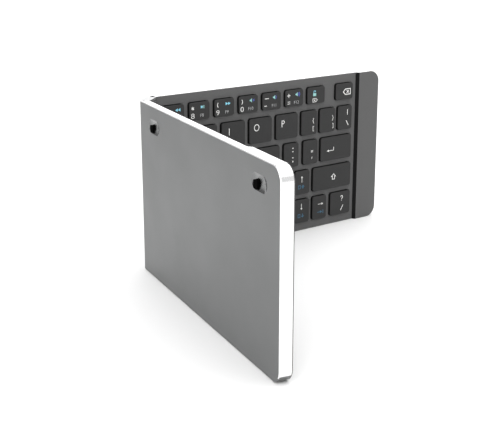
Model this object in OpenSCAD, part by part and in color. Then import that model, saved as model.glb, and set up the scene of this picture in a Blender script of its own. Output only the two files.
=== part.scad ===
// A keyboard in two halves on a double-pivot hinge, standing open on its front edges.
// Each half is drawn flat and then stood up: x runs from its hinge end to its free end,
// y from its front edge to its rear edge, and z from its back face up to its keys.

/* [Half] */
// Length of one half, from hinge end to free end
half_length = 156; // [155:0.5:160]
// Depth of one half, from front edge to rear edge
half_depth = 90; // [88:1:94]
// Radius of the two corners at the free end
corner_r = 6.5; // [5:0.5:12]
// Height of the tray wall beside the keys
low_wall = 4.0; // [4:0.05:4.2]
// Height of the tray wall round the raised end block
high_wall = 5.75; // [5.75:0.05:6]
// Thickness of the front frame's visible sheet
sheet_t = 0.5; // [0.4:0.05:0.6]
// Thickness of the tray floor
floor_t = 1.0; // [0.8:0.05:1.1]
// Thickness of the tray wall
wall_t = 1.2; // [1:0.05:1.5]
// Chamfer round the back face
back_chamfer = 0.4; // [0.2:0.05:0.6]
// Chamfer round the front frame's outer edge
front_chamfer = 0.2; // [0.1:0.05:0.3]

/* [End blocks] */
// Length of the left half's raised block, which holds the battery
left_block = 36.5; // [34:0.5:37]
// Length of the right half's raised strip, which holds the board
right_block = 15.6; // [15:0.1:17]
// Run of the ramp from the deck up to each block
ramp_run = 1.5; // [1:0.1:2]

/* [Hinge] */
// Angle that each half is turned from flat
rest_turn = 39.5; // [0:0.5:89]
// Height of the pin above the back face
pin_height = 4.0; // [3.9:0.05:4.2]
// Distance from the pin to the hinge end of its half
pin_reach = 2.5; // [2.3:0.05:2.6]
// Gap left between the blocks when the halves are shut
shut_gap = 0.5; // [0.3:0.05:0.8]
// Radius of the hinge pins
pin_r = 0.8; // [0.7:0.05:0.9]
// How far the back panel reaches past the end wall, over the spine
end_lip = 1.4; // [1.3:0.05:1.5]
// Distance from a pin to the side of the spine
spine_side = 2.5; // [2.3:0.05:2.5]
// Distance from the pins to the spine's inner face
spine_front = 2.9; // [2.6:0.05:2.9]
// Distance from the pins to the spine's outer face
spine_back = 2.0; // [1.8:0.05:2.2]
// Radius of the bracket barrels
barrel_r = 1.6; // [1.4:0.05:1.65]
// Length of each barrel
barrel_length = 14; // [10:1:18]
// Distance of each barrel's middle from the nearer long edge
barrel_inset = 19; // [16:0.5:24]
// Thickness of the spine's end caps
cap_t = 1.2; // [1:0.1:2]

/* [Keys] */
// Distance from one letter key to the next
letter_pitch = 18.66; // [18.4:0.02:18.7]
// Width of a letter key
letter_w = 15.7; // [15:0.1:16]
// Width of a narrow punctuation key
narrow_w = 10.8; // [10.4:0.1:11]
// Distance from one number key to the next
number_pitch = 16.1; // [16:0.05:16.2]
// Width of a number key
number_w = 12.9; // [12:0.1:13.2]
// Distance from one row to the next
row_pitch = 17.35; // [17.2:0.05:17.4]
// Depth of a letter key
key_depth = 14.1; // [13.6:0.1:14.3]
// Depth of a number key
number_depth = 9.5; // [9:0.1:9.8]
// Front edge of the first row
first_row = 5.2; // [5:0.1:6]
// Front edge of the number row
number_row = 75.2; // [75:0.1:75.5]
// Height of the key tops above the deck
key_rise = 1.5; // [1.3:0.05:1.6]
// Travel of a key
key_travel = 1.2; // [1:0.05:1.2]
// Corner radius of a key
key_corner = 1.3; // [1:0.1:1.8]
// Chamfer round the key tops
key_chamfer = 0.2; // [0.1:0.05:0.4]
// Gap between a key and its opening
key_gap = 0.3; // [0.2:0.05:0.35]

/* [Feet] */
// Distance from the hinge end to the middle of the first dish
hinge_inset = 19.7; // [17:0.1:24]
// Distance from the free end to the middle of the second dish
free_inset = 18.5; // [16:0.1:22]
// Distance of each dish from the rear edge
foot_drop = 10.2; // [9.5:0.1:12]
// Width of the rubber peg
foot_w = 3.7; // [3.5:0.1:3.8]
// How far the peg stands out of the back
foot_rise = 0.3; // [0.2:0.05:0.5]
// Depth of the dish round each peg
dish_depth = 0.8; // [0.6:0.05:0.8]

/* [Port and switch] */
// Middle of the charging port, from the front edge
port_y = 30; // [20:1:36]
// Middle of the power switch's slot, from the front edge
switch_y = 54; // [48:1:66]
// Travel of the power switch
switch_travel = 2; // [1.5:0.5:3]

/* [Hidden] */
$fn = 48;

deck_z = low_wall + sheet_t;            // front face of the deck beside the keys
block_z = high_wall + sheet_t;          // front face of the raised block
pin_gap = 2 * (block_z - pin_height) + shut_gap;
spine_length = half_depth - 0.2;
bore_r = pin_r + 0.04;                  // running fit of the barrels on the pins
barrel_ys = [barrel_inset, half_depth - barrel_inset];
fit = 0.05;                             // play between pieces that drop into the tray

key_top = deck_z + key_rise;
key_bottom = 3.15;                      // underside of the skirt at rest
key_lip_top = 3.5;                      // top of the lip that keeps the key in the frame
key_lip = 0.4;                          // how far the lip reaches past the skirt
frame_bottom = 3.65;                    // underside of the front frame between the walls
cap_thickness = 1.2;
skirt_t = 1.0;

plate_top = 1.7;                        // top of the plate that carries the switches
dome_h = 0.2;
dome_r = 2.2;
pad_top = 1.5;                          // top of the thickened floor over each dish
dish = [14, 7.2];                       // length and width of a dish
pad_wall = 0.6;                         // how far the thickened floor reaches past the dish
peg_shift = [-3.2, -1.35];              // peg's middle against the dish's middle
foot_corner = 0.8;

bracket_foot = [6.5, 0.6];              // length and thickness of a bracket's foot
stake_x = end_lip + bracket_foot[0] - 2;
spine_corners = [0.4, 1.2];             // radii of the spine's inner and outer corners
stake_r = 0.8;
stake_ys = [-4, 4];
notch_play = 0.3;                       // play at each end of a barrel in the spine
web_half = pin_gap / 2 - barrel_r - 0.3;

port_z = 3.4;                           // middle of the port above the back face
port_shell = [8.94, 3.16, 7.35];        // width, height and depth of the socket
port_mouth = [8.34, 2.56];
port_tongue = [5.2, 6.7, 0.7];          // length, width and thickness of the contact tongue
battery_t = 4.2;
board_z = 1.7;                          // underside of the board, on its two posts
board_t = 0.8;
slider_w = 5.2;
slider_h = 1.6;
slider_z = 4.0;
slider_lip = 0.6;                       // how far the slider's base reaches past its slot

margin = 4.0;                           // hinge end to the nearest keys
arrow_x = 92.9;                         // near edge shared by the up and down arrows
narrow_pitch = 13.4;
left_second = [19.0, 19.6, 25.3];       // near edge of the second key: B, G and T rows
left_far = 114.5;                       // far edge of the left half's keys

// Keys of one row: [name, near edge, width] along x, nearest the fold first.
function letter_x(k) = margin + k * letter_pitch;
function number_x(k) = 4.6 + k * number_pitch;

right_numbers = ["7", "8", "9", "0", "minus", "equals", "delete"];
right_letters = ["y", "u", "i", "o", "p"];
right_keys = [
    [["key_space", margin, 56.7], ["key_alt", 63.5, 13.2],
     ["key_arrow_left", arrow_x - narrow_pitch, narrow_w], ["key_arrow_down", arrow_x, narrow_w],
     ["key_arrow_right", 106.3, 10.6], ["key_slash", 120.1, 15.5]],
    [["key_n", margin, 22], ["key_m", 29, letter_w], ["key_comma", 47.7, letter_w],
     ["key_period", 66.2, narrow_w], ["key_grave", arrow_x - narrow_pitch, narrow_w],
     ["key_arrow_up", arrow_x, narrow_w], ["key_shift", 106.3, 29.3]],
    [["key_h", margin, 21.3], ["key_j", 28.4, letter_w], ["key_k", 47, letter_w],
     ["key_l", 65.7, letter_w], ["key_semicolon", 84.4, narrow_w],
     ["key_quote", 98.6, narrow_w], ["key_enter", 111.8, 23.6]],
    concat([for (k = [0:4]) [str("key_", right_letters[k]), letter_x(k), letter_w]],
           [["key_left_bracket", 97, 11.5], ["key_right_bracket", 110.7, 11.6],
            ["key_backslash", 124.6, narrow_w]]),
    concat([for (k = [0:6]) [str("key_", right_numbers[k]), number_x(k), number_w]],
           [["key_backspace", 122.6, 13.1]])
];

// The left half's keys: [near edge, width], nearest the fold first.
function left_letters(near) =
    let (gap = letter_pitch - letter_w, last = near + 4 * letter_pitch)
    concat([[margin, near - gap - margin]],
           [for (k = [0:3]) [near + k * letter_pitch, letter_w]],
           [[last, left_far - last]]);
left_keys = concat(
    [[[margin, 44], [50.9, 13.2], [66.9, 13.2], [82.9, 13.2], [98.9, left_far - 98.9]]],
    [for (near = left_second) left_letters(near)],
    [[for (k = [0:6]) [margin + k * number_pitch, number_w]]]);

left_row_names = ["left_keys_space_row", "left_keys_shift_row", "left_keys_caps_row",
                  "left_keys_tab_row", "left_keys_number_row"];
right_key_names = [for (row = right_keys) for (key = row) key[0]];

function row_y(row) = row < 4 ? first_row + row * row_pitch : number_row;
function row_depth(row) = row < 4 ? key_depth : number_depth;
function block_x(block) = half_length - block;
function right_spans(row) = [for (key = right_keys[row]) [key[1], key[2]]];
right_rows = [for (row = [0:4]) right_spans(row)];

// ---- placing the halves ----

module on_right() {
    translate([pin_gap / 2, 0, 0])
        rotate([0, 0, -rest_turn])
            translate([pin_reach, pin_height, 0])
                rotate([90, 0, 0]) children();
}

module on_left() {
    mirror([1, 0, 0]) on_right() children();
}

// Extrudes an outline drawn in x and z along y.
module along_y(length, from = 0) {
    translate([0, from + length, 0]) rotate([90, 0, 0]) linear_extrude(length) children();
}

// Extrudes an outline drawn in y and z along x.
module along_x(length, from = 0) {
    translate([from, 0, 0]) rotate([90, 0, 90]) linear_extrude(length) children();
}

// ---- shared outlines ----

module rounded(w, d, r) {
    translate([r, 0]) square([w - 2 * r, d]);
    translate([0, r]) square([w, d - 2 * r]);
    for (x = [r, w - r], y = [r, d - r]) translate([x, y]) circle(r);
}

// A slot with round ends, centred.
module slot_outline(w, h) {
    square([w - h, h], center = true);
    for (s = [-1, 1]) translate([s * (w - h) / 2, 0]) circle(h / 2);
}

// The half's outline: square corners at the hinge end, round ones at the free end.
module half_outline(inset = 0, start = 0) {
    r = corner_r - inset;
    far = half_length - inset;
    near = start + inset;
    translate([near, inset]) square([far - r - near, half_depth - 2 * inset]);
    translate([far - r - 1, corner_r]) square([r + 1, half_depth - 2 * corner_r]);
    for (y = [corner_r, half_depth - corner_r]) translate([far - r, y]) circle(r);
}

// ---- tray ----

// A thin slab of the half's outline that grows by its own thickness from z = 0 upwards.
module chamfered_slab(c) {
    x0 = half_length - corner_r;
    along_x(x0) polygon([[c, 0], [half_depth - c, 0], [half_depth, c], [0, c]]);
    along_y(half_depth - 2 * corner_r, corner_r)
        polygon([[x0 - 1, 0], [half_length - c, 0], [half_length, c], [x0 - 1, c]]);
    for (y = [corner_r, half_depth - corner_r])
        translate([x0, y, 0]) cylinder(h = c, r1 = corner_r - c, r2 = corner_r);
}

module tray_solid(block) {
    x1 = block_x(block);
    chamfered_slab(back_chamfer);
    intersection() {
        translate([0, 0, back_chamfer]) linear_extrude(high_wall - back_chamfer) half_outline();
        along_y(half_depth)
            polygon([[0, 0], [half_length, 0], [half_length, high_wall], [x1, high_wall],
                     [x1 - ramp_run, low_wall], [end_lip, low_wall], [end_lip, floor_t],
                     [0, floor_t]]);
    }
}

module foot_spots() {
    for (x = [hinge_inset, half_length - free_inset])
        translate([x, half_depth - foot_drop, 0]) children();
}

// A shallow bowl, long and round-ended, scooped out of the back face.
module dish_cut() {
    r = dish[1] / 2;
    run = dish[0] / 2 - r;
    bowl_r = (r * r + dish_depth * dish_depth) / (2 * dish_depth);
    translate([0, 0, dish_depth - bowl_r]) {
        translate([-run, 0, 0]) rotate([0, 90, 0]) cylinder(h = 2 * run, r = bowl_r);
        for (s = [-1, 1]) translate([s * run, 0, 0]) sphere(bowl_r);
    }
}

// The peg's outline, which is also its pocket's when play is added.
module peg_outline(play = 0) {
    w = foot_w + 2 * play;
    translate([peg_shift[0] - w / 2, peg_shift[1] - w / 2]) rounded(w, w, foot_corner + play);
}

module pad_outline(play = 0) {
    slot_outline(dish[0] + 2 * (pad_wall + play), dish[1] + 2 * (pad_wall + play));
}

module bracket_stakes() {
    for (y = barrel_ys, dy = stake_ys)
        translate([stake_x, y + dy, floor_t])
            cylinder(h = bracket_foot[1] + 0.15, r = stake_r);
}

module tray(block) {
    difference() {
        union() {
            difference() {
                tray_solid(block);
                translate([0, 0, floor_t])
                    linear_extrude(high_wall) half_outline(wall_t, end_lip);
            }
            foot_spots()
                translate([0, 0, floor_t]) linear_extrude(pad_top - floor_t) pad_outline();
            bracket_stakes();
        }
        foot_spots() {
            dish_cut();
            linear_extrude(dish_depth) peg_outline(fit);
        }
        for (y = barrel_ys)
            translate([-1, y - barrel_length / 2, floor_t])
                cube([end_lip + wall_t + 2, barrel_length, high_wall]);
    }
}

module right_tray() {
    color("#8b8d8c") on_right() difference() {
        union() {
            tray(right_block);
            board_posts();
        }
        along_x(wall_t + 2, half_length - wall_t - 1) {
            translate([port_y, port_z]) slot_outline(port_shell[0] + 0.5, port_shell[1] + 0.5);
            translate([switch_y, slider_z])
                slot_outline(slider_w + switch_travel + 0.4, slider_h + 0.4);
        }
    }
}

module left_tray() {
    color("#8b8d8c") on_left() tray(left_block);
}

// ---- front frame: the deck with its key openings and the raised end cover ----

module key_openings(rows) {
    for (row = [0:4], key = rows[row])
        translate([key[0] - key_gap, row_y(row) - key_gap])
            rounded(key[1] + 2 * key_gap, row_depth(row) + 2 * key_gap, key_corner + key_gap);
}

// The visible sheet over the whole half, with its front face at z and its outer edge chamfered.
module front_sheet(z) {
    c = front_chamfer;
    translate([0, 0, z - sheet_t]) linear_extrude(sheet_t - c) half_outline();
    translate([0, 0, z]) mirror([0, 0, 1]) chamfered_slab(c);
}

module front_frame(block, rows) {
    y0 = wall_t + fit;
    x0 = end_lip + y0;
    x1 = block_x(block) - ramp_run;
    difference() {
        union() {
            intersection() {
                front_sheet(deck_z);
                translate([end_lip, 0, 0]) cube([x1 - end_lip, half_depth, deck_z + 1]);
            }
            translate([x0, y0, frame_bottom])
                cube([x1 - x0, half_depth - 2 * y0, low_wall - frame_bottom]);
        }
        translate([0, 0, frame_bottom - 1])
            linear_extrude(deck_z - frame_bottom + 2) key_openings(rows);
    }
    // web that carries the end cover, under the ramp trim
    along_y(half_depth - 2 * y0, y0)
        polygon([[x1 - 0.5, frame_bottom], [x1 - 0.5, low_wall], [x1, low_wall],
                 [x1 + ramp_run, high_wall], [x1 + ramp_run + 1.5, high_wall],
                 [x1 + ramp_run + 1.5, high_wall - 0.5], [x1 + ramp_run + 0.5, high_wall - 0.5],
                 [x1 + 0.7, frame_bottom]]);
    intersection() {
        front_sheet(block_z);
        translate([x1 + ramp_run, 0, high_wall]) cube([block, half_depth, sheet_t + 1]);
    }
}

module right_front_frame() {
    color("#5f6061") on_right() front_frame(right_block, right_rows);
}

module left_front_frame() {
    color("#5f6061") on_left() front_frame(left_block, left_keys);
}

// ---- ramp trim: the black strip on the step up to each block ----

module ramp_trim(block) {
    x1 = block_x(block);
    x0 = x1 - ramp_run;
    along_y(half_depth) polygon([[x0, low_wall], [x1, high_wall], [x1, block_z], [x0, deck_z]]);
}

module right_ramp_trim() {
    color("#161618") on_right() ramp_trim(right_block);
}

module left_ramp_trim() {
    color("#161618") on_left() ramp_trim(left_block);
}

// ---- hinge ----

// A rounded rectangle round both pins, whose inner face is level with the ends of the decks.
module spine_outline() {
    half = pin_gap / 2 + spine_side;
    inner = spine_corners[0];
    outer = spine_corners[1];
    translate([inner - half, -spine_front]) square([2 * (half - inner), inner]);
    translate([-half, inner - spine_front])
        square([2 * half, spine_front + spine_back - inner - outer]);
    translate([outer - half, spine_back - outer]) square([2 * (half - outer), outer]);
    for (s = [-1, 1]) {
        translate([s * (half - inner), inner - spine_front]) circle(inner);
        translate([s * (half - outer), spine_back - outer]) circle(outer);
    }
}

module spine_bar() {
    color("#6a6c6d") difference() {
        translate([0, 0, cap_t]) linear_extrude(spine_length - 2 * cap_t) spine_outline();
        for (s = [-1, 1]) {
            translate([s * pin_gap / 2, 0, 0]) cylinder(h = half_depth, r = pin_r);
            for (z = barrel_ys)
                translate([s * (web_half + 5), 0, z])
                    cube([10, 10, barrel_length + 2 * notch_play], center = true);
        }
    }
}

module spine_caps() {
    color("#c9cbcb") for (z = [0, spine_length - cap_t])
        translate([0, 0, z]) linear_extrude(cap_t) spine_outline();
}

module hinge_pins() {
    color("#b8babb") for (s = [-1, 1])
        translate([s * pin_gap / 2, 0, cap_t])
            cylinder(h = spine_length - 2 * cap_t, r = pin_r);
}

// A barrel on the pin, an arm through the tray's end wall and a foot staked to the floor.
module hinge_bracket() {
    arm_low = 2.4;
    arm_top = low_wall - fit;
    along_y(barrel_length, -barrel_length / 2) difference() {
        union() {
            translate([-pin_reach, pin_height]) circle(barrel_r);
            translate([-pin_reach, arm_low])
                square([pin_reach + end_lip + 0.5, arm_top - arm_low]);
            translate([end_lip, floor_t]) square([wall_t, arm_top - floor_t]);
            translate([end_lip, floor_t]) square(bracket_foot);
        }
        translate([-pin_reach, pin_height]) circle(bore_r);
    }
}

module hinge_brackets() {
    difference() {
        for (y = barrel_ys) translate([0, y, 0]) hinge_bracket();
        for (y = barrel_ys, dy = stake_ys)
            translate([stake_x, y + dy, floor_t - 1])
                cylinder(h = 3, r = stake_r + fit);
    }
}

module right_hinge_brackets() {
    color("#9a9c9d") on_right() hinge_brackets();
}

module left_hinge_brackets() {
    color("#9a9c9d") on_left() hinge_brackets();
}

// ---- feet ----

module feet() {
    foot_spots()
        translate([0, 0, -foot_rise]) linear_extrude(foot_rise + dish_depth) peg_outline();
}

module right_feet() {
    color("#141416") on_right() feet();
}

module left_feet() {
    color("#141416") on_left() feet();
}

// ---- switch plate: the stiff sheet under the keys, with one dome for each key ----

module switch_plate(block, rows) {
    y0 = wall_t + fit;
    x0 = end_lip + y0;
    x1 = block_x(block) - ramp_run - 1;
    translate([0, 0, floor_t]) linear_extrude(plate_top - floor_t) difference() {
        translate([x0, y0]) square([x1 - x0, half_depth - 2 * y0]);
        foot_spots() pad_outline(fit);
        for (y = barrel_ys)
            translate([0, y - barrel_length / 2 - fit])
                square([end_lip + bracket_foot[0] + 2 * fit, barrel_length + 2 * fit]);
    }
    // the number row has no domes here, because the pads over the feet take their place
    for (row = [0:3], key = rows[row])
        translate([key[0] + key[1] / 2, row_y(row) + row_depth(row) / 2, plate_top])
            cylinder(h = dome_h, r = dome_r);
}

module right_switch_plate() {
    color("#a9adb0") on_right() switch_plate(right_block, right_rows);
}

module left_switch_plate() {
    color("#a9adb0") on_left() switch_plate(left_block, left_keys);
}

// ---- electrical pieces ----

module battery_pack() {
    front = corner_r + 1;
    rear = half_depth - foot_drop - dish[1] / 2 - pad_wall - 1;
    color("#b9bdc1") on_left()
        translate([block_x(left_block) + 2.6, front, floor_t])
            linear_extrude(battery_t) rounded(left_block - wall_t - 4.2, rear - front, 1.5);
}

board_x = block_x(right_block) + 1.4;
board_w = right_block - wall_t - 1.8;
board_y = corner_r + 1;
board_l = half_depth - 2 * board_y;
post_spots = [for (y = [board_y + 3, half_depth - board_y - 3]) [board_x + board_w / 2, y]];

module board_posts() {
    for (spot = post_spots) translate([spot[0], spot[1], floor_t]) {
        cylinder(h = board_z - floor_t, r = 1.6);
        cylinder(h = board_z - floor_t + board_t + 0.5, r = 0.7);
    }
}

module main_board() {
    color("#2d5a3f") on_right() difference() {
        union() {
            translate([board_x, board_y, board_z]) cube([board_w, board_l, board_t]);
            // body of the power switch
            translate([board_x + board_w - 5.6, switch_y - 4.5, board_z + board_t])
                cube([4.8, 9, 2.2]);
        }
        for (spot = post_spots) translate([spot[0], spot[1], 0]) cylinder(h = 5, r = 0.75);
        translate([half_length - wall_t - port_shell[2] + 0.4, port_y - port_shell[0] / 2 - fit, 0])
            cube([port_shell[2] + 1, port_shell[0] + 2 * fit, 5]);
    }
}

module usb_c_socket() {
    color("#c4c6c8") on_right() {
        x0 = half_length - 0.3 - port_shell[2];
        difference() {
            along_x(port_shell[2], x0)
                translate([port_y, port_z]) slot_outline(port_shell[0], port_shell[1]);
            along_x(port_shell[2], x0 + 1)
                translate([port_y, port_z]) slot_outline(port_mouth[0], port_mouth[1]);
        }
        translate([x0 + 0.5, port_y - port_tongue[1] / 2, port_z - port_tongue[2] / 2])
            cube(port_tongue);
        // side tabs that rest on the board
        for (s = [-1, 1], x = [x0 + 0.8, x0 + 3.8])
            translate([x, port_y + s * (port_shell[0] / 2 + 0.65) - 1, board_z + board_t])
                cube([1.2, 2, 0.4]);
    }
}

module power_slider() {
    inner_x = half_length - wall_t;
    base = [0.8, slider_w + 2 * (switch_travel + slider_lip), slider_h + 2 * slider_lip];
    start = switch_y - switch_travel / 2;
    color("#1c1c1e") on_right() {
        along_x(wall_t + 0.9, inner_x - 0.2)
            translate([start, slider_z]) slot_outline(slider_w, slider_h);
        translate([inner_x - 0.1 - base[0], start - base[1] / 2, slider_z - base[2] / 2])
            cube(base);
    }
}

// ---- keys ----

// A low block with its top edges chamfered, corners included.
module chamfered_block(w, d, h, r, c) {
    along_y(d - 2 * r, r)
        polygon([[0, 0], [w, 0], [w, h - c], [w - c, h], [c, h], [0, h - c]]);
    along_x(w - 2 * r, r)
        polygon([[0, 0], [d, 0], [d, h - c], [d - c, h], [c, h], [0, h - c]]);
    for (x = [r, w - r], y = [r, d - r]) translate([x, y, 0]) {
        cylinder(h = h - c, r = r);
        translate([0, 0, h - c]) cylinder(h = c, r1 = r, r2 = r - c);
    }
}

// Keycap with a skirt, a lip under the frame and a plunger over its dome.
module keycap(w, d) {
    h = key_top - key_bottom;
    difference() {
        union() {
            chamfered_block(w, d, h, key_corner, key_chamfer);
            translate([-key_lip, 2, 0]) cube([w + 2 * key_lip, d - 4, key_lip_top - key_bottom]);
        }
        translate([skirt_t, skirt_t, -1])
            cube([w - 2 * skirt_t, d - 2 * skirt_t, h - cap_thickness + 1]);
    }
    translate([w / 2, d / 2, 0.2]) cylinder(h = h - 0.5, r = 1.8);
}

module key_at(row, span) {
    translate([span[0], row_y(row), key_bottom]) keycap(span[1], row_depth(row));
}

module right_key(row, key) {
    color("#414243") on_right() key_at(row, [key[1], key[2]]);
}

module left_key_row(row) {
    color("#414243") on_left() for (key = left_keys[row]) key_at(row, key);
}

// ---- the assembly ----

right_tray();
left_tray();
right_front_frame();
left_front_frame();
right_ramp_trim();
left_ramp_trim();
spine_bar();
spine_caps();
hinge_pins();
right_hinge_brackets();
left_hinge_brackets();
right_feet();
left_feet();
right_switch_plate();
left_switch_plate();
battery_pack();
main_board();
usb_c_socket();
power_slider();
for (row = [0:4])
    left_key_row(row);
for (row = [0:4], key = right_keys[row])
    right_key(row, key);
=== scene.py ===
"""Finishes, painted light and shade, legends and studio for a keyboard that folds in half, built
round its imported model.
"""
import math

import bmesh
import bpy
from mathutils import Matrix, Vector


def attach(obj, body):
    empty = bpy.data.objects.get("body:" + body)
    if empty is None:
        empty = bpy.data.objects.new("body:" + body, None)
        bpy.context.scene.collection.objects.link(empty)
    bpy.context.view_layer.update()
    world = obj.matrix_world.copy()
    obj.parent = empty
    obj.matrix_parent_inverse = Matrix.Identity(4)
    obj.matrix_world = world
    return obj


bl_info = {
    "name": "Folding keyboard",
    "version": (1, 0, 0),
    "blender": (4, 5, 0),
    "location": "View3D > Sidebar > Keyboard",
    "description": "Finishes, key legends and studio for a keyboard that folds in half",
    "category": "Object",
}

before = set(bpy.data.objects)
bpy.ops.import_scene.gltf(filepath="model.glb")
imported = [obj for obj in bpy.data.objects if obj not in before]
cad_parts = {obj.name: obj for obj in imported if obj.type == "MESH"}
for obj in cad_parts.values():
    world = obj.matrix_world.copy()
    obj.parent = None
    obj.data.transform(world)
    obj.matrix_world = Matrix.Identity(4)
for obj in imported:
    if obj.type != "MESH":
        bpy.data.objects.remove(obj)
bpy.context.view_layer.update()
MM = 0.001


def linear(code):
    """The linear RGBA colour of an sRGB hex code."""
    parts = [int(code[i:i + 2], 16) / 255 for i in (1, 3, 5)]
    return (*(c / 12.92 if c <= 0.04045 else ((c + 0.055) / 1.055) ** 2.4 for c in parts), 1.0)


# ---- the halves ----

# Each half is worked on in its own face frame, in millimetres: x to the typist's right along the
# rows, y from the front edge to the rear edge and z out of the back towards the keys.
TURN = math.radians(39.5)        # how far each half is folded up from flat
PIN_GAP = 5.0                    # between the two hinge pins
PIN_REACH = 2.5                  # from a pin to the end of its half
PIN_HEIGHT = 4.0                 # from the back of a half to its pin
RIGHT, LEFT = 1, -1
HALF_LENGTH, HALF_DEPTH = 156.0, 90.0
KEY_TOP = 6.0                    # from the back to the tops of the keycaps
TOP_SLACK = 0.01                 # how far below that a corner of a top may lie
KEY_SPACING = 0.5                # faces closer than this along a row belong to one key


def face_frame(side):
    """Turns a half's face frame into the shared frame, in metres."""
    c, s = math.cos(TURN), math.sin(TURN) * side
    x = side * (PIN_GAP / 2 + PIN_REACH * c + PIN_HEIGHT * math.sin(TURN))
    y = PIN_HEIGHT * c - PIN_REACH * math.sin(TURN)
    return Matrix(((c * MM, 0, -s * MM, x * MM),
                   (-s * MM, 0, -c * MM, y * MM),
                   (0, MM, 0, 0),
                   (0, 0, 0, 1)))


def out_of_keys(side):
    """The direction in which a half's keys face."""
    return (face_frame(side).to_3x3() @ Vector((0, 0, 1))).normalized()


def inside_outline(point, side):
    """How far a point of the face frame lies inside the outline of its half."""
    return min(point.y, HALF_DEPTH - point.y, HALF_LENGTH - side * point.x, side * point.x)


def key_tops(node, side):
    """The top faces in a node, left to right, as (left, front, width, depth) in the face frame."""
    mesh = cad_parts[node].data
    to_face = face_frame(side).inverted()
    points = [to_face @ v.co for v in mesh.vertices]
    spans = []
    for face in mesh.polygons:
        corners = [points[i] for i in face.vertices]
        if min(p.z for p in corners) < KEY_TOP - TOP_SLACK:
            continue
        spans.append([min(p.x for p in corners), max(p.x for p in corners),
                      min(p.y for p in corners), max(p.y for p in corners)])
    spans.sort()
    tops = []
    for span in spans:
        if tops and span[0] < tops[-1][1] + KEY_SPACING:
            last = tops[-1]
            tops[-1] = [last[0], max(last[1], span[1]), min(last[2], span[2]),
                        max(last[3], span[3])]
        else:
            tops.append(span)
    return [(t[0], t[2], t[1] - t[0], t[3] - t[2]) for t in tops]


# ---- sizes and colours that a user would change ----

def length(name, text, value):
    """A length property, given in millimetres and kept in metres."""
    return bpy.props.FloatProperty(name=name, description=text, default=value * MM, min=0,
                                   subtype="DISTANCE", unit="LENGTH", precision=5)


def colour(name, text, code):
    """A colour property, given as an sRGB hex code."""
    return bpy.props.FloatVectorProperty(name=name, description=text, default=linear(code),
                                         size=4, min=0, max=1, subtype="COLOR")


class KeyboardSizes(bpy.types.PropertyGroup):
    """Sizes of the printed legends"""
    letter: length("Letters", "Height of the capital letters on the keys", 3.95)
    digit: length("Digits", "Height of the digits on the number keys", 2.7)
    sign: length("Signs", "Height of the signs that the font draws", 2.4)
    label: length("Small labels", "Height of the function numbers on the number keys", 1.7)
    icon: length("Media icons", "Width of the media icons on the number keys", 3.3)
    ink: length("Ink thickness", "Thickness of the printed legends", 0.03)


class KeyboardColours(bpy.types.PropertyGroup):
    """Colours of the finishes, the painted light and shade, and the inks"""
    tray: colour("Backs", "Anodised aluminium of both backs", "#7A7B7B")
    # Painted light: the side walls are the backs' aluminium, painted near white to stand in for the
    # lamps that whiten them.
    rim: colour("Side walls", "Bright aluminium round both halves", "#F4F4F4")
    deck: colour("Decks", "Satin plate round the keys", "#5C5C5C")
    keys: colour("Keys", "Keycap plastic", "#373737")
    # Painted shade: on the ramp strips this black stands in for the shadow on each step's slope; on
    # the power slider it is the slider's own colour.
    trim: colour("Trim", "Strip on the step up to each end block", "#101010")
    spine: colour("Spine", "Painted hinge spine", "#5C5C5C")
    white_ink: colour("White ink", "Letters and signs", "#EDEDEB")
    pale_ink: colour("Pale ink", "Bodies of the media signs", "#8FC6C2")
    cyan_ink: colour("Cyan ink", "Media triangles", "#86D0E6")
    blue_ink: colour("Blue ink", "Second signs on the arrow keys", "#2A5A74")
    indigo_ink: colour("Indigo ink", "Waves of the media signs", "#4A5AB8")
    grey_ink: colour("Grey ink", "Function numbers", "#B2B3B4")


# ---- materials ----

def add(tree, kind, settings=None, **links):
    """Adds a node, sets its properties and input values, and links its inputs."""
    node = tree.nodes.new(kind)
    for name, value in (settings or {}).items():
        if name in node.inputs:
            node.inputs[name].default_value = value
        else:
            setattr(node, name, value)
    for name, source in links.items():
        tree.links.new(source, node.inputs[name.replace("_", " ")])
    return node


def new_material(name, base, metallic, roughness, **settings):
    """A material's node tree, its shader and Object coordinates, ready for its patterns."""
    material = bpy.data.materials.new(name)
    material.use_nodes = True
    tree = material.node_tree
    shader = tree.nodes["Principled BSDF"]
    shader.inputs["Base Color"].default_value = tuple(base)
    shader.inputs["Metallic"].default_value = metallic
    shader.inputs["Roughness"].default_value = roughness
    for socket, value in settings.items():
        shader.inputs[socket.replace("_", " ")].default_value = value
    material.diffuse_color = tuple(base)
    coords = add(tree, "ShaderNodeTexCoord").outputs["Object"]
    return material, tree, shader, coords


def scale_for(size_mm):
    """The noise scale whose blotches are about size_mm across."""
    return 1 / (size_mm * MM)


# Mix nodes carry a set of sockets for each kind of data. These are the colour ones.
COLOUR_A, COLOUR_B, COLOUR_RESULT = 6, 7, 2

# Sizes of patterns, in millimetres.
BEAD_DENT = 0.35                 # dents of 0.1 mm, drawn this coarse so that they just show
BEAD_DEPTH = 0.03
BLAST_CLOUD = 28                 # patches where the blasting went over the metal once more
INK_FLOW = 0.6                   # waves left in ink that flowed before it dried
# How strongly they show.
BEAD_STRENGTH = 0.12             # how much the dents turn the light
CLOUD_CHANGE = 0.03              # how much duller or glossier a cloud is than the metal
PEBBLE_SHADE = 0.1               # how much darker or lighter a pebble is than its base colour


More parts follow.
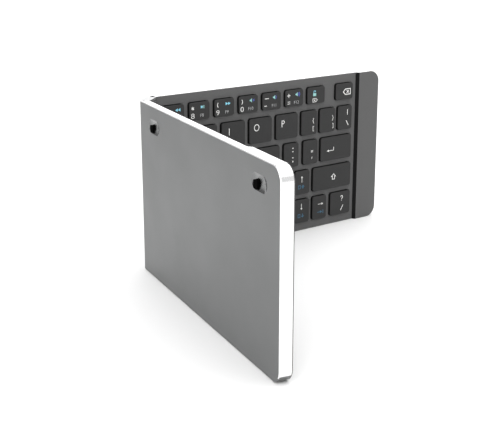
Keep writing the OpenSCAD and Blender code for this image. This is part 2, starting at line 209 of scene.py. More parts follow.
def blasted_metal(name, base, roughness):
    """Metal whose surface is made by fine beads, by lapping or by a press tool.

    The eye gets a satin sheen that is broken up by an even, very fine grit, with wide faint
    clouds in the highlights instead of a clean mirror.
    """
    material, tree, shader, coords = new_material(name, base, 1.0, roughness)
    dents = add(tree, "ShaderNodeTexNoise", {"Scale": scale_for(BEAD_DENT)}, Vector=coords)
    clouds = add(tree, "ShaderNodeTexNoise", {"Scale": scale_for(BLAST_CLOUD), "Detail": 3.0},
                 Vector=coords)
    gloss = add(tree, "ShaderNodeMapRange",
                {"From Min": 0.3, "From Max": 0.7, "To Min": roughness - CLOUD_CHANGE,
                 "To Max": roughness + CLOUD_CHANGE}, Value=clouds.outputs["Fac"])
    tree.links.new(gloss.outputs["Result"], shader.inputs["Roughness"])
    bump = add(tree, "ShaderNodeBump", {"Strength": BEAD_STRENGTH, "Distance": BEAD_DEPTH * MM},
               Height=dents.outputs["Fac"])
    tree.links.new(bump.outputs["Normal"], shader.inputs["Normal"])
    return material


def textured_plastic(name, base, roughness, grit_mm, depth_mm, strength=0.25, shine=0.12):
    """Plastic, paint or rubber that takes the pebbled texture of its mould or of its spray.

    The eye gets a dull surface with a faint pebbled sheen. Real pebbles are about 0.05 mm wide,
    so grit_mm draws them as coarse as they need to be to show. They stand depth_mm proud. The
    waves in foil and resin are drawn at their real size.
    """
    material, tree, shader, coords = new_material(name, base, 0.0, roughness, IOR=1.5,
                                                  Specular_IOR_Level=shine)
    grit = add(tree, "ShaderNodeTexNoise", {"Scale": scale_for(grit_mm)}, Vector=coords)
    shade = add(tree, "ShaderNodeMix", {"data_type": "RGBA"}, Factor=grit.outputs["Fac"])
    darker, lighter = 1 - PEBBLE_SHADE, 1 + PEBBLE_SHADE
    shade.inputs[COLOUR_A].default_value = tuple(c * darker for c in base[:3]) + (1.0,)
    shade.inputs[COLOUR_B].default_value = tuple(min(1, c * lighter) for c in base[:3]) + (1.0,)
    tree.links.new(shade.outputs[COLOUR_RESULT], shader.inputs["Base Color"])
    bump = add(tree, "ShaderNodeBump", {"Strength": strength, "Distance": depth_mm * MM},
               Height=grit.outputs["Fac"])
    tree.links.new(bump.outputs["Normal"], shader.inputs["Normal"])
    return material


def printed_ink(name, base):
    """Ink laid on by screen printing.

    The eye gets a flat colour that is slightly glossier than the key under it, with a gloss
    that changes where the ink flowed before it dried.
    """
    material, tree, shader, coords = new_material(name, base, 0.0, 0.45, IOR=1.5)
    flow = add(tree, "ShaderNodeTexNoise", {"Scale": scale_for(INK_FLOW)}, Vector=coords)
    gloss = add(tree, "ShaderNodeMapRange", {"To Min": 0.38, "To Max": 0.52},
                Value=flow.outputs["Fac"])
    tree.links.new(gloss.outputs["Result"], shader.inputs["Roughness"])
    return material


# ---- finishes, and painted light and shade, on the CAD nodes ----

FLAT = 0.8                       # a face this square to the keys' direction is a panel
SLOPING = 0.5                    # past this it is a chamfer, and under it a wall
SHADED_UNDERSIDE = -0.35                # painted shade: faces that look down further than this keep the back's darker grey
OUTWARD = -0.3                   # faces turned further from the keys look out of the back
BORDER = 4.5                     # the walls and their rounded corners lie this near the outline
DISH_START = 0.01                # a dish's faces lie deeper than this in the back


def coat(node, material):
    """Gives a CAD node its finish."""
    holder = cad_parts[node]
    if not holder.material_slots:
        holder.data.materials.append(material)
    for slot in holder.material_slots:
        slot.material = material


def paint_light_on_walls(node, side, wall, chamfer):
    """Paints light on a back panel's outer side walls and its chamfer, with near-white copies of the
    back's aluminium.
    """
    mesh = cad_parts[node].data
    wall_slot = len(mesh.materials)
    chamfer_slot = wall_slot + 1
    mesh.materials.append(wall)
    mesh.materials.append(chamfer)
    to_face = face_frame(side).inverted()
    middle = Vector((HALF_LENGTH / 2 * side, HALF_DEPTH / 2, 0))
    for face in mesh.polygons:
        slope = abs(face.normal.dot(out_of_keys(side)))
        # Faces that look down keep the back's darker grey, as painted shade under the walls.
        if slope > FLAT or face.normal.z < SHADED_UNDERSIDE:
            continue
        centre = to_face @ face.center
        outward = (to_face.to_3x3() @ face.normal).dot(centre - middle) > 0
        if outward and inside_outline(centre, side) < BORDER:
            face.material_index = chamfer_slot if slope > SLOPING else wall_slot


def coat_dishes(node, side, material):
    """Gives the sunk dishes in a back panel a finish of their own."""
    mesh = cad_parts[node].data
    dish_slot = len(mesh.materials)
    mesh.materials.append(material)
    to_face = face_frame(side).inverted()
    for face in mesh.polygons:
        centre = to_face @ face.center
        faces_out = face.normal.dot(out_of_keys(side)) < OUTWARD
        if faces_out and centre.z > DISH_START and inside_outline(centre, side) > BORDER:
            face.material_index = dish_slot


def paint_shade_on_skirts(node, side, material):
    """Paints shade on the upright side walls of the keycaps, with a much darker copy of their
    plastic.
    """
    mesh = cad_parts[node].data
    skirt_shade_slot = len(mesh.materials)
    mesh.materials.append(material)
    for face in mesh.polygons:
        if abs(face.normal.dot(out_of_keys(side))) < SLOPING:
            face.material_index = skirt_shade_slot


# ---- legends ----

def smooth_arc(cx, cy, r, start, stop, steps=8):
    """Points on an arc of radius r, from one angle to the other, in degrees."""
    return [(cx + r * math.cos(a), cy + r * math.sin(a))
            for a in (math.radians(start + (stop - start) * i / steps) for i in range(steps + 1))]


def band(cx, cy, r, t, start, stop):
    """A thin curved band of radius r and thickness t."""
    return smooth_arc(cx, cy, r + t / 2, start, stop) + smooth_arc(cx, cy, r - t / 2, stop, start)


def box2d(x0, y0, x1, y1):
    """A rectangle between two corners."""
    return [(x0, y0), (x1, y0), (x1, y1), (x0, y1)]


def turned(outlines, quarter_turns):
    """The outlines turned anticlockwise by quarter turns."""
    for _ in range(quarter_turns % 4):
        outlines = [[(-y, x) for x, y in line] for line in outlines]
    return outlines


def flipped(outlines):
    """The outlines mirrored left to right."""
    return [[(-x, y) for x, y in line] for line in outlines]


def bar(x0, y0, x1, y1, t):
    """A straight stroke of thickness t."""
    run = math.hypot(x1 - x0, y1 - y0)
    a, b = (y0 - y1) / run * t / 2, (x1 - x0) / run * t / 2
    return [(x0 - a, y0 - b), (x1 - a, y1 - b), (x1 + a, y1 + b), (x0 + a, y0 + b)]


def moved(line, x, y):
    """The outline shifted by x and y."""
    return [(a + x, b + y) for a, b in line]


# Signs and icons as outlines. An icon is about one unit wide and is drawn at the width that its
# key asks for. A sign is in millimetres. An outline inside another one is a hole in it.
ARROW_RIGHT = [[(-0.5, -0.035), (0.22, -0.035), (0.18, -0.18), (0.5, 0), (0.18, 0.18),
                (0.22, 0.035), (-0.5, 0.035)]]
HOUSE = [(0, 0.5), (0.5, 0), (0.25, 0), (0.25, -0.42), (-0.25, -0.42), (-0.25, 0), (-0.5, 0)]
HOUSE_HOLE = [(0, 0.37), (0.29, 0.085), (0.165, 0.085), (0.165, -0.335), (-0.165, -0.335),
              (-0.165, 0.085), (-0.29, 0.085)]
CHEVRON = [(-0.36, -0.2), (-0.25, -0.2), (0, 0.06), (0.25, -0.2), (0.36, -0.2), (0, 0.2)]
SPEAKER = [(-0.5, -0.12), (-0.32, -0.12), (-0.04, -0.36), (-0.04, 0.36), (-0.32, 0.12),
           (-0.5, 0.12)]
TAG = [(-0.5, 0), (-0.2, 0.3), (0.5, 0.3), (0.5, -0.3), (-0.2, -0.3)]
TAG_HOLE = [(-0.4, 0), (-0.16, 0.23), (0.43, 0.23), (0.43, -0.23), (-0.16, -0.23)]
CROSS = [(0, 0.05), (0.1, 0.15), (0.15, 0.1), (0.05, 0), (0.15, -0.1), (0.1, -0.15),
         (0, -0.05), (-0.1, -0.15), (-0.15, -0.1), (-0.05, 0), (-0.15, 0.1), (-0.1, 0.15)]
HOOK = [(-0.5, -0.12), (-0.2, -0.24), (-0.24, -0.145), (0.5, -0.145), (0.5, 0.26), (0.44, 0.26),
        (0.44, -0.095), (-0.24, -0.095), (-0.2, 0.0)]
PAGE = [(-0.5, -0.2), (-0.16, -0.2), (-0.16, 0.2), (-0.5, 0.2)]
PAGE_HOLE = [(-0.43, -0.13), (-0.23, -0.13), (-0.23, 0.13), (-0.43, 0.13)]
PAGE_UP = [PAGE, PAGE_HOLE, box2d(0.1, -0.2, 0.18, 0.05),
           [(-0.06, 0.02), (0.34, 0.02), (0.14, 0.22)]]
TO_BAR = [[(-0.5, -0.04), (-0.02, -0.04), (-0.02, -0.2), (0.3, 0), (-0.02, 0.2), (-0.02, 0.04),
           (-0.5, 0.04)], box2d(0.4, -0.24, 0.5, 0.24)]
QUOTE = [(-0.22, 0.65), (0.22, 0.65), (0.12, -0.65), (-0.12, -0.65)]

ICONS = {
    "right": ARROW_RIGHT,
    "up": turned(ARROW_RIGHT, 1),
    "left": turned(ARROW_RIGHT, 2),
    "down": turned(ARROW_RIGHT, 3),
    "enter": [HOOK],
    "shift": [HOUSE, HOUSE_HOLE],
    "caps": [moved(HOUSE, 0, 0.1), moved(HOUSE_HOLE, 0, 0.1), box2d(-0.25, -0.5, 0.25, -0.41)],
    "backspace": [TAG, TAG_HOLE, moved(CROSS, 0.12, 0)],
    "delete": flipped([TAG, TAG_HOLE, moved(CROSS, 0.12, 0)]),
    "page_up": PAGE_UP,
    "page_down": flipped(turned(PAGE_UP, 2)),
    "end": TO_BAR,
    "home": flipped(TO_BAR),
    "rewind": [[(0, -0.26), (0, 0.26), (-0.48, 0)], [(0.5, -0.26), (0.5, 0.26), (0.02, 0)]],
    "forward": [[(-0.5, -0.26), (-0.02, 0), (-0.5, 0.26)], [(0, -0.26), (0.48, 0), (0, 0.26)]],
    "play": [[(-0.5, -0.24), (-0.05, 0), (-0.5, 0.24)]],
    "pause": [box2d(-0.16, -0.24, -0.05, 0.24), box2d(0.06, -0.24, 0.17, 0.24)],
    "speaker": [SPEAKER],
    "cross": [[(0.3 + x * 1.2, y * 1.2) for x, y in CROSS]],
    "wave": [band(-0.15, 0, 0.34, 0.1, -50, 50)],
    "waves": [band(-0.15, 0, 0.32, 0.1, -50, 50), band(-0.15, 0, 0.58, 0.1, -42, 42)],
    "lock": [box2d(-0.28, -0.42, 0.28, 0.0)],
    "shackle": [band(0, 0.2, 0.16, 0.09, -10, 180), box2d(-0.205, 0.0, -0.115, 0.2)],
    "tab": [[(x * 0.9 - 0.05, y * 0.9 + 0.17) for x, y in ARROW_RIGHT[0]],
            box2d(0.44, -0.02, 0.52, 0.36),
            [(0.05 - x * 0.9, y * 0.9 - 0.2) for x, y in ARROW_RIGHT[0]],
            box2d(-0.52, -0.39, -0.44, -0.01)],
    "menu": [box2d(-0.35, 0.2, 0.35, 0.3), box2d(-0.35, -0.05, 0.35, 0.05),
             box2d(-0.35, -0.3, 0.35, -0.2)],
    "diamond": [[(0, 0.36), (0.36, 0), (0, -0.36), (-0.36, 0)],
                [(0, 0.24), (0.24, 0), (0, -0.24), (-0.24, 0)]],
    "ring": [smooth_arc(0, 0, 0.34, 0, 345, 23), smooth_arc(0, 0, 0.23, 0, 345, 23)],
    "caret": [CHEVRON],
    "*": [bar(0, -0.9, 0, 0.9, 0.32), bar(-0.8, -0.46, -0.16, -0.09, 0.32),
          bar(0.16, 0.09, 0.8, 0.46, 0.32), bar(-0.8, 0.46, -0.16, 0.09, 0.32),
          bar(0.16, -0.09, 0.8, -0.46, 0.32)],
    "(": [band(1.3, 0, 1.6, 0.32, 128, 232)],
    ")": [band(-1.3, 0, 1.6, 0.32, -52, 52)],
    "-": [box2d(-0.9, -0.18, 0.9, 0.18)],
    "_": [box2d(-0.6, -0.16, 2.2, 0.16)],
    "+": [[(-0.8, -0.19), (0.11, -0.19), (0.11, -1.05), (0.49, -1.05), (0.49, -0.19), (1.4, -0.19),
           (1.4, 0.19), (0.49, 0.19), (0.49, 1.05), (0.11, 1.05), (0.11, 0.19), (-0.8, 0.19)]],
    "=": [box2d(-0.6, 0.4, 1.3, 0.7), box2d(-0.6, -0.7, 1.3, -0.4)],
    ":": [box2d(-0.33, 0.7, 0.33, 1.3), box2d(-0.33, -1.3, 0.33, -0.7)],
    ";": [box2d(-0.33, 0.75, 0.33, 1.35),
          [(-0.33, -0.75), (0.33, -0.75), (0.33, -1.35), (0.0, -1.8), (-0.3, -1.65), (-0.08, -1.35),
           (-0.33, -1.35)]],
    "?": [smooth_arc(0, 0.72, 0.98, 170, -40)
          + [(0.2, -0.3), (0.2, -0.75), (-0.18, -0.75), (-0.18, -0.1)]
          + smooth_arc(0, 0.72, 0.62, -40, 170), box2d(-0.2, -1.6, 0.2, -1.2)],
    "'": [QUOTE],
    '"': [moved(QUOTE, -0.45, 0), moved(QUOTE, 0.45, 0)],
    "|": [box2d(-0.18, -1.6, 0.18, 1.6)],
    "/": [bar(-0.95, -1.6, 0.95, 1.6, 0.38)],
    "\\": [bar(-0.85, 1.45, 0.85, -1.45, 0.38)],
    "[": [[(-0.4, -1.5), (0.4, -1.5), (0.4, -1.24), (-0.12, -1.24), (-0.12, 1.24), (0.4, 1.24),
           (0.4, 1.5), (-0.4, 1.5)]],
}
ICONS["]"] = flipped(ICONS["["])

# A key's legend is a list of marks: what is printed, how far along and up the key's top its
# middle stands, as shares of the top's width and depth, its size, and its ink. The size is one
# of the sizes that a user can change, or a width or height in millimetres.
WHITE, PALE, CYAN, BLUE, INDIGO, GREY = range(6)


def one(mark, x=0.31, y=0.635):
    """A single letter, set towards the upper left."""
    return [(mark, x, y, "letter", WHITE)]


def pair(upper, lower, x=0.6, upper_y=0.72, lower_y=0.28):
    """Two signs, one above the other."""
    return [(upper, x, upper_y, "sign", WHITE), (lower, x, lower_y, "sign", WHITE)]


def number(upper, lower, label, *icons):
    """A digit under its sign, its function number and the parts of its media icon."""
    marks = [(upper, 0.15, 0.69, "digit", WHITE), (lower, 0.15, 0.24, "digit", WHITE),
             (label, 0.62, 0.23, "label", GREY)]
    return marks + [(icon, 0.69, 0.72, "icon", ink) for icon, ink in icons]


RIGHT_LEGENDS = {
    "key_space": [],
    "key_alt": [("diamond", 0.5, 0.5, 4.4, WHITE)],
    "key_arrow_left": [("left", 0.46, 0.66, 3.9, WHITE), ("home", 0.44, 0.3, 4.6, BLUE)],
    "key_arrow_down": [("down", 0.45, 0.69, 3.8, WHITE), ("page_down", 0.46, 0.3, 5.6, BLUE)],
    "key_arrow_right": [("right", 0.58, 0.65, 3.9, WHITE), ("end", 0.57, 0.29, 4.6, BLUE)],
    "key_slash": [("?", 0.58, 0.71, "sign", WHITE), ("/", 0.59, 0.27, "sign", WHITE)],
    "key_n": one("N"), "key_m": one("M"),
    "key_comma": pair("<", ",", 0.58), "key_period": pair(">", ".", 0.58),
    "key_grave": pair("~", "`", 0.58),
    "key_arrow_up": [("up", 0.46, 0.64, 3.8, WHITE), ("page_up", 0.46, 0.31, 5.6, BLUE)],
    "key_shift": [("shift", 0.54, 0.49, 4.0, WHITE)],
    "key_h": one("H"), "key_j": one("J"), "key_k": one("K"), "key_l": one("L"),
    "key_semicolon": pair(":", ";", 0.605, 0.72, 0.31),
    "key_quote": pair('"', "'", 0.605, 0.52, 0.24),
    "key_enter": [("enter", 0.31, 0.46, 5.4, WHITE)],
    "key_y": one("Y"), "key_u": one("U"), "key_i": one("I"), "key_o": one("O"),
    "key_p": one("P"),
    "key_left_bracket": [("{", 0.77, 0.57, 2.3, WHITE), ("[", 0.78, 0.23, "sign", WHITE)],
    "key_right_bracket": [("}", 0.86, 0.57, 2.3, WHITE), ("]", 0.87, 0.23, "sign", WHITE)],
    "key_backslash": pair("|", "\\", 0.68, 0.73, 0.26),
    "key_7": number("&", "7", "F7", ("rewind", CYAN)),
    "key_8": number("*", "8", "F8", ("play", CYAN), ("pause", PALE)),
    "key_9": number("(", "9", "F9", ("forward", CYAN)),
    "key_0": number(")", "0", "F10", ("speaker", PALE), ("cross", INDIGO)),
    "key_minus": number("_", "-", "F11", ("speaker", PALE), ("wave", INDIGO)),
    "key_equals": number("+", "=", "F12", ("speaker", PALE), ("waves", INDIGO)),
    "key_delete": [("lock", 0.4, 0.64, 3.9, PALE), ("shackle", 0.4, 0.64, 3.9, CYAN),
                   ("delete", 0.43, 0.19, 3.7, WHITE)],
    "key_backspace": [("backspace", 0.64, 0.47, 6.0, WHITE)],
}
# The left half's rows, front row first, each from left to right.
LEFT_LEGENDS = {
    "left_keys_space_row": [[("caret", 0.35, 0.6, 4.2, WHITE)], [("ring", 0.5, 0.5, 4.0, BLUE)],
                            [("menu", 0.5, 0.5, 4.2, WHITE)],
                            [("diamond", 0.5, 0.5, 4.4, WHITE)], []],
    "left_keys_shift_row": [[("shift", 0.3, 0.5, 3.6, WHITE)], one("Z"), one("X"), one("C"),
                            one("V"), one("B")],
    "left_keys_caps_row": [[("caps", 0.3, 0.5, 3.6, WHITE)], one("A"), one("S"), one("D"),
                           one("F"), one("G")],
    "left_keys_tab_row": [[("tab", 0.35, 0.5, 5.2, WHITE)], one("Q"), one("W"), one("E"),
                          one("R"), one("T")],
    "left_keys_number_row": [[("ring", 0.3, 0.5, 3.6, WHITE)], number("!", "1", "F1"),
                             number("@", "2", "F2"), number("#", "3", "F3"),
                             number("$", "4", "F4"), number("%", "5", "F5"),
                             number("^", "6", "F6")],
}
CAP_SHARE = 0.682                # height of a capital letter against the font's size
NARROW = 0.88                    # width of the printed letters against the font's
WIDE = 1.3                       # the same for digits and signs
THINNER = -0.018                 # how far each stroke's edge is drawn in, against the size
CURVE_STEPS = 4                  # straight pieces in each curve of a letter
MERGE = 0.002                    # points of a mark closer than this are one, in millimetres
INK_RISE = 0.3                   # the ink's middle above the key, against its thickness
marks_made = {}                  # each mark's mesh, by what it shows and its size


def outline_curve(mark, size):
    """Draws a sign or an icon from its outlines."""
    bpy.ops.curve.primitive_bezier_curve_add()
    curve = bpy.context.object.data
    curve.dimensions = "2D"
    curve.fill_mode = "BOTH"
    curve.splines.clear()
    for line in ICONS[mark]:
        spline = curve.splines.new("POLY")
        spline.points.add(len(line) - 1)
        for point, (x, y) in zip(spline.points, line):
            point.co = (x * size, y * size, 0, 1)
        spline.use_cyclic_u = True
    return curve


def font_curve(mark, size):
    """Sets letters or digits in the font, with capitals as high as size."""
    bpy.ops.object.text_add()
    curve = bpy.context.object.data
    curve.body = mark
    curve.size = size / CAP_SHARE
    curve.resolution_u = CURVE_STEPS
    curve.offset = THINNER * size
    return curve


def mark_mesh(mark, size, ink):
    """The closed thin mesh of one letter or sign, in millimetres, made once for each size.

    An outline is printed as it stands. A letter comes from the font, is centred, and is then
    stretched to the width that the keys' lettering has.
    """
    key = (mark, round(size, 3))
    if key in marks_made:
        return marks_made[key]
    bpy.ops.object.select_all(action="DESELECT")
    curve = outline_curve(mark, size) if mark in ICONS else font_curve(mark, size)
    curve.extrude = ink / 2
    bpy.ops.object.convert(target="MESH")
    obj = bpy.context.object
    bpy.ops.object.mode_set(mode="EDIT")
    bpy.ops.mesh.select_all(action="SELECT")
    bpy.ops.mesh.remove_doubles(threshold=MERGE)
    bpy.ops.mesh.normals_make_consistent(inside=False)
    bpy.ops.object.mode_set(mode="OBJECT")
    mesh = obj.data
    if mark not in ICONS:
        xs = [v.co.x for v in mesh.vertices]
        ys = [v.co.y for v in mesh.vertices]
        stretch = NARROW if mark.isalpha() else WIDE if len(mark) == 1 else 1.0
        centred = Matrix.Translation((-(min(xs) + max(xs)) / 2, -(min(ys) + max(ys)) / 2, 0))
        mesh.transform(Matrix.Diagonal((stretch, 1, 1, 1)) @ centred)
    bpy.data.objects.remove(obj)
    marks_made[key] = mesh
    return mesh


def print_legend(name, body, side, top, marks, inks):
    """Prints one key's marks on its top and lets them ride on the key."""
    sizes = bpy.context.scene.keyboard_sizes
    heights = {"letter": sizes.letter / MM, "digit": sizes.digit / MM,
               "label": sizes.label / MM, "icon": sizes.icon / MM, "sign": sizes.sign / MM}
    ink = sizes.ink / MM
    left, front, width, depth = top
    bm = bmesh.new()
    for mark, x, y, size, ink_slot in marks:
        drawn_in_mm = mark in ICONS and size in ("sign", "digit")
        mesh = mark_mesh(mark, 1.0 if drawn_in_mm else heights.get(size, size), ink)
        first_vert, first_face = len(bm.verts), len(bm.faces)
        bm.from_mesh(mesh)
        bm.verts.ensure_lookup_table()
        bm.faces.ensure_lookup_table()
        place = Matrix.Translation((left + x * width, front + y * depth,
                                    KEY_TOP + ink * INK_RISE))
        bmesh.ops.transform(bm, matrix=face_frame(side) @ place, verts=bm.verts[first_vert:])
        for face in bm.faces[first_face:]:
            face.material_index = ink_slot
    mesh = bpy.data.meshes.new(name)
    bm.to_mesh(mesh)
    bm.free()
    for material in inks:
        mesh.materials.append(material)
    obj = bpy.data.objects.new(name, mesh)
    bpy.context.scene.collection.objects.link(obj)
    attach(obj, body)


# ---- operators ----

class KEYBOARD_OT_trays(bpy.types.Operator):
    """Finish the aluminium trays and their rubber feet, and paint light on the trays' side walls"""
    bl_idname = "keyboard.trays"
    bl_label = "Trays and feet"

    def execute(self, context):
        colours = context.scene.keyboard_colours
        # An even grey satin over the whole back, which takes up the light of the room.
        blasted = blasted_metal("bead-blasted anodised aluminium", colours.tray, 0.42)
        # Painted light: the walls are the back's aluminium, polished smoother and painted near white
        # so that they shine white as under strong lamps.
        walls_painted_white = blasted_metal("diamond-cut aluminium", colours.rim, 0.2)
        # Painted light on the narrow chamfer: the same near-white colour with a wider sheen, so that
        # it glows evenly from any side instead of showing a dark line.
        painted_glow = blasted_metal("lapped aluminium edge", colours.rim, 0.5)
        # The press tool that sinks the dishes leaves them smoother than the panel.
        coined = blasted_metal("coined aluminium", colours.tray, 0.24)
        # Black rubber from a rough mould: hardly any sheen, so the pegs read as one dark block.
        rubber = textured_plastic("moulded black rubber", linear("#060606"), roughness=0.9,
                                  grit_mm=0.5, depth_mm=0.05, shine=0.02)
        for name, side in (("right", RIGHT), ("left", LEFT)):
            coat(f"{name}_tray", blasted)
            paint_light_on_walls(f"{name}_tray", side, walls_painted_white, painted_glow)
            coat_dishes(f"{name}_tray", side, coined)
            coat(f"{name}_feet", rubber)
        return {"FINISHED"}


class KEYBOARD_OT_decks(bpy.types.Operator):
    """Finish the front frames and the power slider, and paint shade on the strips on their steps"""
    bl_idname = "keyboard.decks"
    bl_label = "Decks and trim"

    def execute(self, context):
        colours = context.scene.keyboard_colours
        # A moulded plate with a satin skin: lighter than the keys, and without a highlight.
        deck = textured_plastic("moulded satin ABS", colours.deck, roughness=0.5,
                                grit_mm=0.5, depth_mm=0.02, strength=0.15)
        # A smoother black moulding, which shows a thin line of light along its slope. On the ramp
        # strips it is painted shade, a black sheet laid where each step's slope stands in shadow; on
        # the power slider it is the slider's own black.
        trim = textured_plastic("moulded black ABS", colours.trim, roughness=0.4,
                                grit_mm=0.4, depth_mm=0.01)
        for name in ("right", "left"):
            coat(f"{name}_front_frame", deck)
            coat(f"{name}_ramp_trim", trim)
        coat("power_slider", trim)
        return {"FINISHED"}


class KEYBOARD_OT_keys(bpy.types.Operator):
    """Finish the keycaps' tops and paint shade on their skirts"""
    bl_idname = "keyboard.keys"
    bl_label = "Keycaps"

    def execute(self, context):
        # Tops from a spark-eroded mould: matt charcoal that doesn't shine under the fingers.
        top = textured_plastic("spark-eroded ABS", context.scene.keyboard_colours.keys,
                               roughness=0.55, grit_mm=0.45, depth_mm=0.02, strength=0.2)
        # Painted shade: the skirts are the tops' plastic drawn much darker, as they stand in the
        # frame's shadow, so that each key is framed with a dark line.
        shaded_skirt = textured_plastic("moulded ABS skirt", linear("#161616"), roughness=0.6,
                                 grit_mm=0.45, depth_mm=0.02, strength=0.2, shine=0.06)
        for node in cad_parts:
            if node.startswith(("key_", "left_keys_")):
                coat(node, top)
                paint_shade_on_skirts(node, RIGHT if node.startswith("key_") else LEFT, shaded_skirt)
        return {"FINISHED"}


class KEYBOARD_OT_legends(bpy.types.Operator):
    """Print letters and signs on the keys"""
    bl_idname = "keyboard.legends"
    bl_label = "Legends"

    def execute(self, context):
        colours = context.scene.keyboard_colours
        marks_made.clear()
        # In the order of the ink numbers that the legends name.
        inks = [printed_ink(f"screen-printed {name} ink", getattr(colours, f"{name}_ink"))
                for name in ("white", "pale", "cyan", "blue", "indigo", "grey")]
        for node, marks in RIGHT_LEGENDS.items():
            if marks:
                name = "legend_" + node.removeprefix("key_")
                print_legend(name, node + "_body", RIGHT, key_tops(node, RIGHT)[0], marks, inks)
        for node, row in LEFT_LEGENDS.items():
            tops = key_tops(node, LEFT)
            if len(tops) != len(row):
                raise RuntimeError(f"{node} has {len(tops)} keys and {len(row)} legends")
            for number_in_row, (top, marks) in enumerate(zip(tops, row), start=1):
                if marks:
                    name = f"legend_{node.removeprefix('left_')}_{number_in_row}"
                    print_legend(name, node + "_body", LEFT, top, marks, inks)
        return {"FINISHED"}


class KEYBOARD_OT_hinge(bpy.types.Operator):
    """Finish the spine, its caps, the pins and the brackets"""
    bl_idname = "keyboard.hinge"
    bl_label = "Hinge"

    def execute(self, context):
        colours = context.scene.keyboard_colours
        # Sprayed to match the decks, so that they run into each other across the hinge.
        paint = textured_plastic("satin spray paint", colours.spine, roughness=0.5,
                                 grit_mm=0.5, depth_mm=0.02, strength=0.15)
        # Bare blasted ends: paler than the backs, with a soft light on their upper faces.
        cap = blasted_metal("bead-blasted bare aluminium", linear("#B4B5B5"), 0.35)
        # Tumbled after stamping: round barrels show long soft highlights.
        steel = blasted_metal("stamped and tumbled steel", linear("#B4B6B8"), 0.3)
        coat("spine_bar", paint)
        coat("spine_caps", cap)
        for node in ("hinge_pins", "right_hinge_brackets", "left_hinge_brackets"):
            coat(node, steel)
        return {"FINISHED"}


class KEYBOARD_OT_inside(bpy.types.Operator):
    """Finish the pieces inside the halves and the charging port"""
    bl_idname = "keyboard.inside"
    bl_label = "Inside and port"

    def execute(self, context):
        # The port's drawn shell, the brightest thing in its dark opening.
        shell = blasted_metal("drawn steel", linear("#C0C2C4"), 0.28)
        # Rolled sheet under the keys, dull and a little darker.
        sheet = blasted_metal("rolled steel sheet", linear("#9DA0A2"), 0.45)
        # Foil with slack creases of 3 mm round the cells.
        wrap = textured_plastic("laminated foil", linear("#A9ADB2"), roughness=0.4,
                                grit_mm=3, depth_mm=0.02)
        # Green resin that sinks over the tracks of the board, in soft waves of 2 mm.
        resin = textured_plastic("solder mask resin", linear("#1E4A30"), roughness=0.35,
                                 grit_mm=2, depth_mm=0.01)
        coat("usb_c_socket", shell)
        coat("right_switch_plate", sheet)
        coat("left_switch_plate", sheet)
        coat("battery_pack", wrap)
        coat("main_board", resin)
        return {"FINISHED"}


# ---- stage ----

FLOOR_SIZE = 12                  # metres
FLOOR_GREY = 0.85
FLOOR_CLOUD = 400                # patches of more and less sheen on the paper, in millimetres
WORLD_LIGHT = 0.15
# Each softbox's name, place, the point it faces, its width and height, and its power in watts.
# The front one lights the left back and the right deck and whitens the side walls. The far one
# brightens the upper edges and the floor beyond. The top one and the scrim over everything set
# how deep the shadows are, the left and low ones fill the dishes and the reflections in the
# walls, and the backdrop one whitens the floor behind.
SOFTBOXES = [("front softbox", (-1.3, 0.3, 0.9), (0.0, 0.0, 0.04), (1.6, 1.6), 21),
             ("far softbox", (1.9, 0.5, 0.75), (0.0, 0.0, 0.06), (2.2, 0.9), 10),
             ("top softbox", (0.15, -0.35, 1.3), (0.0, 0.0, 0.0), (2.4, 2.0), 24),
             ("overhead scrim", (0.0, 0.0, 3.5), (0.0, 0.0, 0.0), (9.0, 9.0), 110),
             ("left softbox", (0.5, 1.3, 0.3), (0.0, 0.0, 0.04), (1.0, 0.5), 0.4),
             ("low softbox", (-0.36, -0.78, 0.26), (0.0, 0.0, 0.05), (1.2, 0.5), 1.2),
             ("backdrop softbox", (1.9, 0.5, 0.9), (1.7, 0.4, 0.0), (3.0, 1.5), 8)]
CAMERA_PLACE = (-0.496450, -0.178198, 0.183897)
CAMERA_HEADING = math.radians(14.054)     # from the x axis, anticlockwise
CAMERA_DIP = math.radians(16.336)         # below the horizon
CAMERA_LENS = 74.791                      # millimetres, on a sensor 36 mm wide
CAMERA_SENSOR = 36
CAMERA_CLIP = 0.01                        # metres, the nearest thing that it shows


def aim(obj, direction):
    """Points a lamp or the camera along a direction, upright."""
    obj.rotation_euler = direction.to_track_quat("-Z", "Y").to_euler()


def studio_paper():
    """Matt white paper, rolled out smooth.

    The eye gets an even white. Its sheen is too wide and weak to show a reflection.
    """
    material, tree, shader, coords = new_material("matt studio paper",
                                                  (FLOOR_GREY,) * 3 + (1.0,), 0.0, 0.7)
    clouds = add(tree, "ShaderNodeTexNoise", {"Scale": scale_for(FLOOR_CLOUD)}, Vector=coords)
    gloss = add(tree, "ShaderNodeMapRange", {"To Min": 0.65, "To Max": 0.8},
                Value=clouds.outputs["Fac"])
    tree.links.new(gloss.outputs["Result"], shader.inputs["Roughness"])
    return material


def lay_floor():
    """Lays the paper under the keyboard."""
    bpy.ops.object.select_all(action="DESELECT")
    bpy.ops.mesh.primitive_plane_add(size=FLOOR_SIZE)
    floor = bpy.context.object
    floor.name = "studio_floor"
    floor.data.materials.append(studio_paper())


def light_studio(scene):
    """Gives the studio a faint even light from all around, and its softboxes."""
    scene.world = bpy.data.worlds.new("studio")
    scene.world.use_nodes = True
    sky = scene.world.node_tree.nodes["Background"]
    sky.inputs["Color"].default_value = (1, 1, 1, 1)
    sky.inputs["Strength"].default_value = WORLD_LIGHT
    for name, place, target, size, power in SOFTBOXES:
        bpy.ops.object.light_add(type="AREA", location=place)
        softbox = bpy.context.object
        softbox.name = name
        softbox.data.shape = "RECTANGLE"
        softbox.data.size, softbox.data.size_y = size
        softbox.data.energy = power
        aim(softbox, Vector(target) - Vector(place))


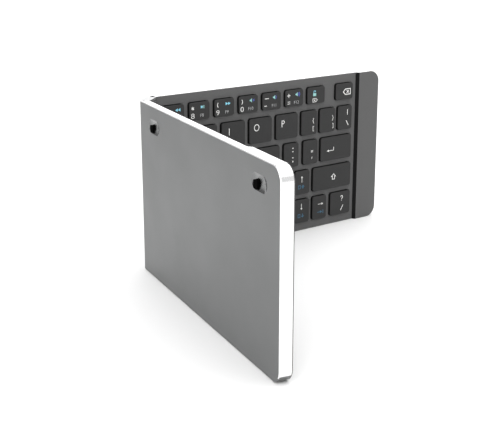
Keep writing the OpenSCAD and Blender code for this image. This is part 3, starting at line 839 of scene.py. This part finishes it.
def set_camera(scene):
    """Sets the camera beside the left half's back, facing the right half's keys."""
    bpy.ops.object.camera_add(location=CAMERA_PLACE)
    camera = bpy.context.object
    aim(camera, Vector((math.cos(CAMERA_DIP) * math.cos(CAMERA_HEADING),
                        math.cos(CAMERA_DIP) * math.sin(CAMERA_HEADING),
                        -math.sin(CAMERA_DIP))))
    camera.data.lens = CAMERA_LENS
    camera.data.sensor_width = CAMERA_SENSOR
    camera.data.sensor_fit = "HORIZONTAL"
    camera.data.clip_start = CAMERA_CLIP
    scene.camera = camera


class KEYBOARD_OT_stage(bpy.types.Operator):
    """Set up the floor, the soft light and the camera"""
    bl_idname = "keyboard.stage"
    bl_label = "Stage"

    def execute(self, context):
        lay_floor()
        light_studio(context.scene)
        set_camera(context.scene)
        context.scene.view_settings.view_transform = "Standard"
        context.scene.view_settings.look = "None"
        return {"FINISHED"}


# ---- panel and registration ----

class KEYBOARD_PT_panel(bpy.types.Panel):
    """Lists the keyboard's sizes and colours, and a button for each of its operators"""
    bl_label = "Folding keyboard"
    bl_idname = "KEYBOARD_PT_panel"
    bl_space_type = "VIEW_3D"
    bl_region_type = "UI"
    bl_category = "Keyboard"

    def draw(self, context):
        layout = self.layout
        for group in (context.scene.keyboard_sizes, context.scene.keyboard_colours):
            for name in group.__annotations__:
                layout.prop(group, name)
        for operator in OPERATORS:
            layout.operator(operator.bl_idname)


OPERATORS = (KEYBOARD_OT_stage, KEYBOARD_OT_trays, KEYBOARD_OT_decks, KEYBOARD_OT_keys,
             KEYBOARD_OT_legends, KEYBOARD_OT_hinge, KEYBOARD_OT_inside)
CLASSES = (KeyboardSizes, KeyboardColours, *OPERATORS, KEYBOARD_PT_panel)


def register():
    """Adds the classes, and the sizes and colours to the scene."""
    for cls in CLASSES:
        bpy.utils.register_class(cls)
    bpy.types.Scene.keyboard_sizes = bpy.props.PointerProperty(type=KeyboardSizes)
    bpy.types.Scene.keyboard_colours = bpy.props.PointerProperty(type=KeyboardColours)


def unregister():
    """Takes out what register put in."""
    del bpy.types.Scene.keyboard_colours
    del bpy.types.Scene.keyboard_sizes
    for cls in reversed(CLASSES):
        bpy.utils.unregister_class(cls)


def main():
    """Makes the whole keyboard."""
    register()
    bpy.ops.keyboard.stage()
    bpy.ops.keyboard.trays()
    bpy.ops.keyboard.decks()
    bpy.ops.keyboard.keys()
    bpy.ops.keyboard.legends()
    bpy.ops.keyboard.hinge()
    bpy.ops.keyboard.inside()


if __name__ == "__main__":
    main()
